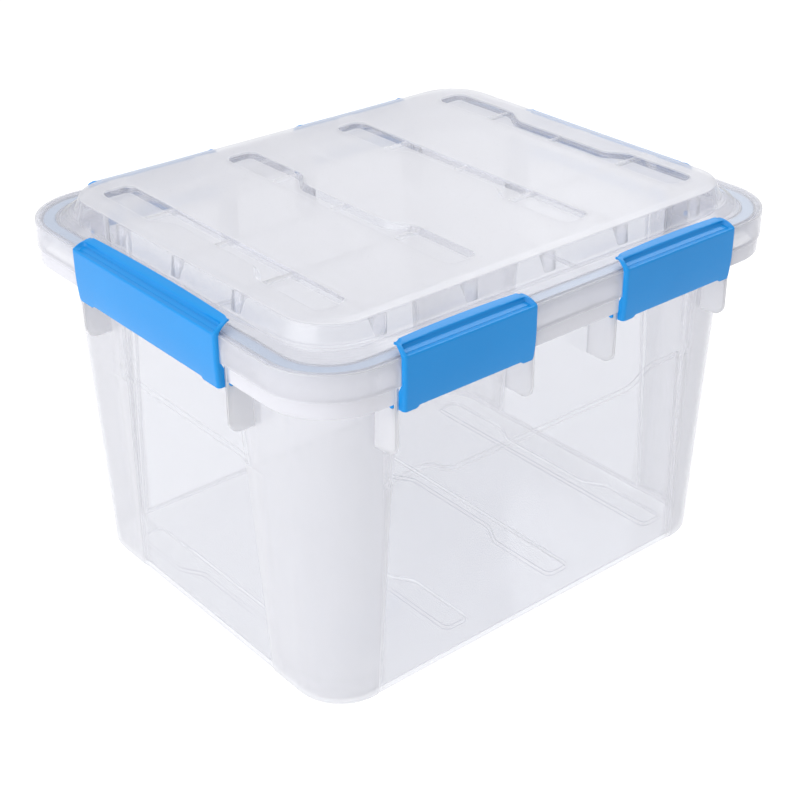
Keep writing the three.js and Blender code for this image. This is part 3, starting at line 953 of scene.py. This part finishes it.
class Nodes:
    """A small helper that adds nodes to a material and joins them."""

    def __init__(self, name):
        self.material = bpy.data.materials.new(name)
        self.material.use_nodes = True
        self.tree = self.material.node_tree
        self.tree.nodes.clear()

    def add(self, kind, inputs=None, **settings):
        """A node of a kind; an input is either joined to another node's socket or set to a number."""
        node = self.tree.nodes.new(kind)
        for key, value in settings.items():
            setattr(node, key, value)
        for key, value in (inputs or {}).items():
            if isinstance(value, bpy.types.NodeSocket):
                self.tree.links.new(value, node.inputs[key])
            else:
                node.inputs[key].default_value = value
        return node

    def math(self, operation, a, b=0.0):
        """Arithmetic on one or two values."""
        return self.add("ShaderNodeMath", {0: a, 1: b}, operation=operation).outputs[0]

    def noise(self, scale, detail=2.0, roughness=0.5):
        """Noise that is fixed to the object."""
        place = self.add("ShaderNodeTexCoord").outputs["Object"]
        settings = {"Vector": place, "Scale": scale, "Detail": detail, "Roughness": roughness}
        return self.add("ShaderNodeTexNoise", settings).outputs["Fac"]

    def spread(self, value, low, high):
        """Maps 0..1 to low..high."""
        return self.math("ADD", self.math("MULTIPLY", value, high - low), low)

    def ramp(self, value, low, high, top):
        """Rises smoothly from 0 at low to top at high."""
        settings = {"Value": value, "From Min": low, "From Max": high, "To Min": 0.0, "To Max": top}
        return self.add("ShaderNodeMapRange", settings, interpolation_type="SMOOTHSTEP").outputs[0]

    def bump(self, height, strength, distance):
        """A normal tilted by the slope of a height."""
        settings = {"Height": height, "Strength": strength, "Distance": distance}
        return self.add("ShaderNodeBump", settings).outputs["Normal"]

    def ramp_of(self, value, first, second, low=0.0, high=1.0):
        """A colour that goes from first at low to second at high."""
        node = self.add("ShaderNodeValToRGB", {"Fac": value})
        for element, colour, position in zip(node.color_ramp.elements, (first, second), (low, high)):
            element.color = (*colour, 1.0)
            element.position = position
        return node.outputs["Color"]

    def mix(self, share, first, second):
        """Two surfaces mixed; the share is that of the second."""
        return self.add("ShaderNodeMixShader", {0: share, 1: first, 2: second}).outputs[0]

    def done(self, surface):
        """Joins the surface to the material's output and hands over the material."""
        self.add("ShaderNodeOutputMaterial", {"Surface": surface})
        return self.material


# Painted light by place: extra haze that lightens the tub's corner columns and its rim, and a lighter milk
# for the rim. The numbers are shares from 0 to 1, and ranges in metres over which the haze sets in.
COLUMN_PAINTED_LIGHT = 0.27
COLUMN_FROM_X = (0.152, 0.164)
COLUMN_FROM_Y = (0.082, 0.094)
RIM_PAINTED_LIGHT = 0.24
RIM_ZONE_TOP = RIM_TOP - 0.6
PAINTED_LIGHT_RIM_MILK = (0.68, 0.68, 0.715)
# Range of pointiness, the renderer's measure of how sharp an edge is, over which edges get a painted
# highlight of white haze.
EDGE_RANGE = (0.008, 0.045)


def see_through(name, tint, milk, haze, painted_edge_highlight, glow_share, roughness, frost, frost_side, frost_from):
    """Moulded translucent plastic: what is behind shows through, under a glossy skin.

    tint is the colour of what shows through, milk that of the haze, and glow_share the part of the haze that
    lets light through. The haze is thicker at a glancing angle. The extra haze in the tub's corner columns
    and in its rim, where the milk is also lighter, is painted light on those parts. The haze along creases
    and small fillets, set by the edge argument, is a painted highlight. frost is the further haze of the
    level faces on one side of the height frost_from.
    """
    n = Nodes(name)
    geometry = n.add("ShaderNodeNewGeometry").outputs
    facing = n.add("ShaderNodeLayerWeight", {"Blend": 0.5}).outputs["Facing"]
    upright = n.add("ShaderNodeSeparateXYZ", {"Vector": geometry["Normal"]}).outputs
    place = n.add("ShaderNodeSeparateXYZ", {"Vector": n.add("ShaderNodeTexCoord").outputs["Object"]}).outputs
    flow = n.noise(scale=9.0, detail=3.0)
    fine = n.noise(scale=900.0)

    cloud = n.spread(flow, 0.75 * haze, 1.25 * haze)
    glancing = n.math("MULTIPLY", n.math("POWER", facing, 3.0), 0.25)
    # Painted light: the rim between these heights gets more haze and a lighter milk, standing in for the
    # light on it.
    below_rim = n.math("LESS_THAN", place["Z"], BAND_BOTTOM * MM)
    below_lid = n.math("LESS_THAN", place["Z"], RIM_ZONE_TOP * MM)
    in_rim = n.math("SUBTRACT", below_lid, below_rim)
    rim = n.math("MULTIPLY", in_rim, RIM_PAINTED_LIGHT)
    # Painted light: the corner columns below the rim get more haze, which makes them lighter.
    past_side = n.ramp(n.math("ABSOLUTE", place["X"]), *COLUMN_FROM_X, 1.0)
    past_end = n.ramp(n.math("ABSOLUTE", place["Y"]), *COLUMN_FROM_Y, COLUMN_PAINTED_LIGHT)
    steepness = n.math("ABSOLUTE", upright["Z"])
    standing = n.math("SUBTRACT", 1.0, n.ramp(steepness, 0.3, 0.7, 1.0))
    column = n.math("MULTIPLY", past_side, past_end)
    column = n.math("MULTIPLY", column, n.math("MULTIPLY", below_rim, standing))
    # Painted highlight: creases and small fillets turn white by their sharpness.
    sharp = n.math("ABSOLUTE", n.math("SUBTRACT", geometry["Pointiness"], 0.5))
    edge = n.ramp(sharp, *EDGE_RANGE, painted_edge_highlight)
    in_zone = n.math(frost_side, place["Z"], frost_from * MM)
    level = n.math("MULTIPLY", n.ramp(steepness, 0.7, 0.95, frost), in_zone)
    share = n.math("ADD", cloud, glancing)
    for part in (column, edge, rim, level):
        share = n.math("ADD", share, part)

    ripple = n.math("ADD", n.math("MULTIPLY", flow, 0.9), n.math("MULTIPLY", fine, 0.1))
    normal = n.bump(ripple, strength=0.12, distance=0.0006)
    # Painted light: in the rim the milk takes the lighter colour.
    body = n.ramp_of(in_rim, milk, PAINTED_LIGHT_RIM_MILK)
    clear = n.add("ShaderNodeBsdfTransparent", {"Color": (*tint, 1.0)}).outputs[0]
    white = n.add("ShaderNodeBsdfDiffuse", {"Color": body, "Normal": normal}).outputs[0]
    glow = n.add("ShaderNodeBsdfTranslucent", {"Color": body, "Normal": normal}).outputs[0]
    inner = n.mix(share, clear, n.mix(glow_share, white, glow))
    rough = n.spread(fine, 0.8 * roughness, 1.2 * roughness)
    gloss = {"Color": (1.0, 1.0, 1.0, 1.0), "Roughness": rough, "Normal": normal}
    shine = n.add("ShaderNodeBsdfGlossy", gloss).outputs[0]
    mirror = n.spread(n.math("POWER", facing, 5.0), 0.04, 0.75)
    return n.done(n.mix(mirror, inner, shine))


def coloured_plastic(name, colour, deep, roughness):
    """Opaque moulded plastic with a faint orange-peel skin and slight cloudiness in its colour."""
    n = Nodes(name)
    cloud = n.noise(scale=14.0, detail=3.0)
    peel = n.noise(scale=1300.0, detail=3.0, roughness=0.6)
    settings = {
        "Base Color": n.ramp_of(cloud, deep, colour, low=0.3, high=0.7),
        "Roughness": n.spread(peel, roughness - 0.05, roughness + 0.07),
        "Specular IOR Level": 0.24,
        "Normal": n.bump(peel, strength=0.12, distance=0.0002),
    }
    return n.done(n.add("ShaderNodeBsdfPrincipled", settings).outputs[0])


def rubber(name, colour, deep):
    """Soft matt sealing rubber; its upright sides are deeper in colour, which is painted shade."""
    n = Nodes(name)
    grain = n.noise(scale=700.0, detail=3.0)
    # Painted shade: the upright sides take the deeper colour.
    upright = n.add("ShaderNodeNewGeometry").outputs["Normal"]
    level = n.math("ABSOLUTE", n.add("ShaderNodeSeparateXYZ", {"Vector": upright}).outputs["Z"])
    shade = n.math("ADD", n.math("MULTIPLY", level, 0.8), n.math("MULTIPLY", grain, 0.2))
    settings = {
        "Base Color": n.ramp_of(shade, deep, colour),
        "Roughness": n.spread(grain, 0.55, 0.72),
        "Normal": n.bump(grain, strength=0.25, distance=0.0002),
    }
    return n.done(n.add("ShaderNodeBsdfPrincipled", settings).outputs[0])


# In each material below, the white haze along sharp edges is a painted highlight.
CLEAR = see_through(
    "clear_plastic", tint=(0.916, 0.918, 0.93), milk=(0.65, 0.65, 0.675), haze=0.07, painted_edge_highlight=0.7,
    glow_share=0.5, roughness=0.1, frost=0.1, frost_side="LESS_THAN", frost_from=12.0)
FROSTED = see_through(
    "frosted_plastic", tint=(0.88, 0.884, 0.903), milk=(0.76, 0.76, 0.785), haze=0.06, painted_edge_highlight=0.22,
    glow_share=0.6, roughness=0.3, frost=0.44, frost_side="GREATER_THAN", frost_from=LID_TOP - 6.0)
RIBBED = see_through(
    "rib_plastic", tint=(0.985, 0.985, 0.99), milk=(0.93, 0.93, 0.955), haze=0.12, painted_edge_highlight=0.1,
    glow_share=0.5, roughness=0.16, frost=0.0, frost_side="GREATER_THAN", frost_from=LID_TOP)
BLUE = coloured_plastic(
    "latch_plastic", colour=(0.007, 0.234, 0.605), deep=(0.006, 0.22, 0.575), roughness=0.24)
# The gasket's deeper colour is painted shade on its upright sides.
SEAL = rubber("seal_rubber", colour=(0.44, 0.53, 0.66), deep=(0.07, 0.15, 0.3))

# ------------------------------------------------------------------ the pieces, dressed and tied to bodies


def dress(obj, material, body, node=None):
    """Gives a piece its material and the body it rides on, and hides the CAD node it stands for, if any."""
    obj.data.materials.clear()
    obj.data.materials.append(material)
    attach(obj, body)
    if node:
        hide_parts(node)


tub = build_tub()
flatten_shading(tub)
dress(tub, CLEAR, "tub", "tub")
lid = build_lid()
flatten_shading(lid)
dress(lid, FROSTED, "lid", "lid")
ribs = build_ribs()
dress(ribs, RIBBED, "lid")
# Thin plastic lets most of the light through: without this the inside of the box turns dark.
for piece in (tub, lid, ribs):
    piece.visible_shadow = False
    piece.visible_diffuse = False
gasket = build_gasket()
flatten_shading(gasket)
dress(gasket, SEAL, "lid", "gasket")
for latch in LATCHES:
    shell = build_latch(latch)
    round_edges(shell, PLATE_EDGE_ROUND)
    flatten_shading(shell)
    dress(shell, BLUE, latch["name"], latch["name"])
    fittings = latch_fittings(latch)
    round_edges(fittings, FITTING_EDGE_ROUND)
    flatten_shading(fittings)
    dress(fittings, BLUE, latch["name"])

# ------------------------------------------------------------------ stage, light and camera


FLOOR_REACH = 12.0
FLOOR_DROP = 0.0004
WORLD_STRENGTH = 0.82
BOX_MIDDLE = (0.0, 0.0, 0.2)
LID_MIDDLE = (0.0, 0.0, 0.25)


def build_stage():
    """A plain pale floor under a white sky."""
    mesh = bpy.data.meshes.new("floor")
    r = FLOOR_REACH
    mesh.from_pydata([(-r, -r, 0), (r, -r, 0), (r, r, 0), (-r, r, 0)], [], [(0, 1, 2, 3)])
    floor = bpy.data.objects.new("floor", mesh)
    bpy.context.scene.collection.objects.link(floor)
    n = Nodes("pale_floor")
    matt = n.add("ShaderNodeBsdfDiffuse", {"Color": (0.93, 0.93, 0.94, 1.0)}).outputs[0]
    mesh.materials.append(n.done(matt))
    floor.location.z = -FLOOR_DROP

    world = bpy.data.worlds.new("studio")
    world.use_nodes = True
    sky = world.node_tree.nodes["Background"]
    sky.inputs["Color"].default_value = (1.0, 1.0, 1.0, 1.0)
    sky.inputs["Strength"].default_value = WORLD_STRENGTH
    bpy.context.scene.world = world


def add_light(name, place, target, size, power):
    """A square white lamp that faces its target."""
    data = bpy.data.lights.new(name, "AREA")
    data.shape = "SQUARE"
    data.size = size
    data.energy = power
    lamp = bpy.data.objects.new(name, data)
    bpy.context.scene.collection.objects.link(lamp)
    lamp.location = place
    lamp.rotation_euler = (Vector(target) - Vector(place)).to_track_quat("-Z", "Y").to_euler()


def add_camera(azimuth, elevation, roll, distance, target, lens):
    """A camera that looks along +Y at azimuth 0, and moves towards -X as the azimuth falls."""
    a, e = math.radians(azimuth), math.radians(elevation)
    away = Vector((math.sin(a) * math.cos(e), -math.cos(a) * math.cos(e), math.sin(e)))
    data = bpy.data.cameras.new("camera")
    data.lens = lens
    data.sensor_width = 36.0
    camera = bpy.data.objects.new("camera", data)
    bpy.context.scene.collection.objects.link(camera)
    facing = (-away).to_track_quat("-Z", "Y").to_matrix() @ Matrix.Rotation(math.radians(roll), 3, "Z")
    camera.matrix_world = Matrix.Translation(Vector(target) + away * distance) @ facing.to_4x4()
    bpy.context.scene.camera = camera


build_stage()
add_light("key_left", (-2.2, -0.1, 1.0), BOX_MIDDLE, 2.6, 42.0)
add_light("top_soft", (0.2, 0.3, 2.2), BOX_MIDDLE, 1.8, 10.0)
add_light("sheen_right", (1.9, 0.9, 2.4), LID_MIDDLE, 1.8, 23.0)
add_camera(
    azimuth=-39.75, elevation=29.04, roll=-0.38, distance=1.3, target=(-0.0209, -0.0235, 0.1475), lens=70.95)

scene = bpy.context.scene
scene.view_settings.view_transform = "Standard"
scene.cycles.transparent_max_bounces = 48
scene.cycles.max_bounces = 12
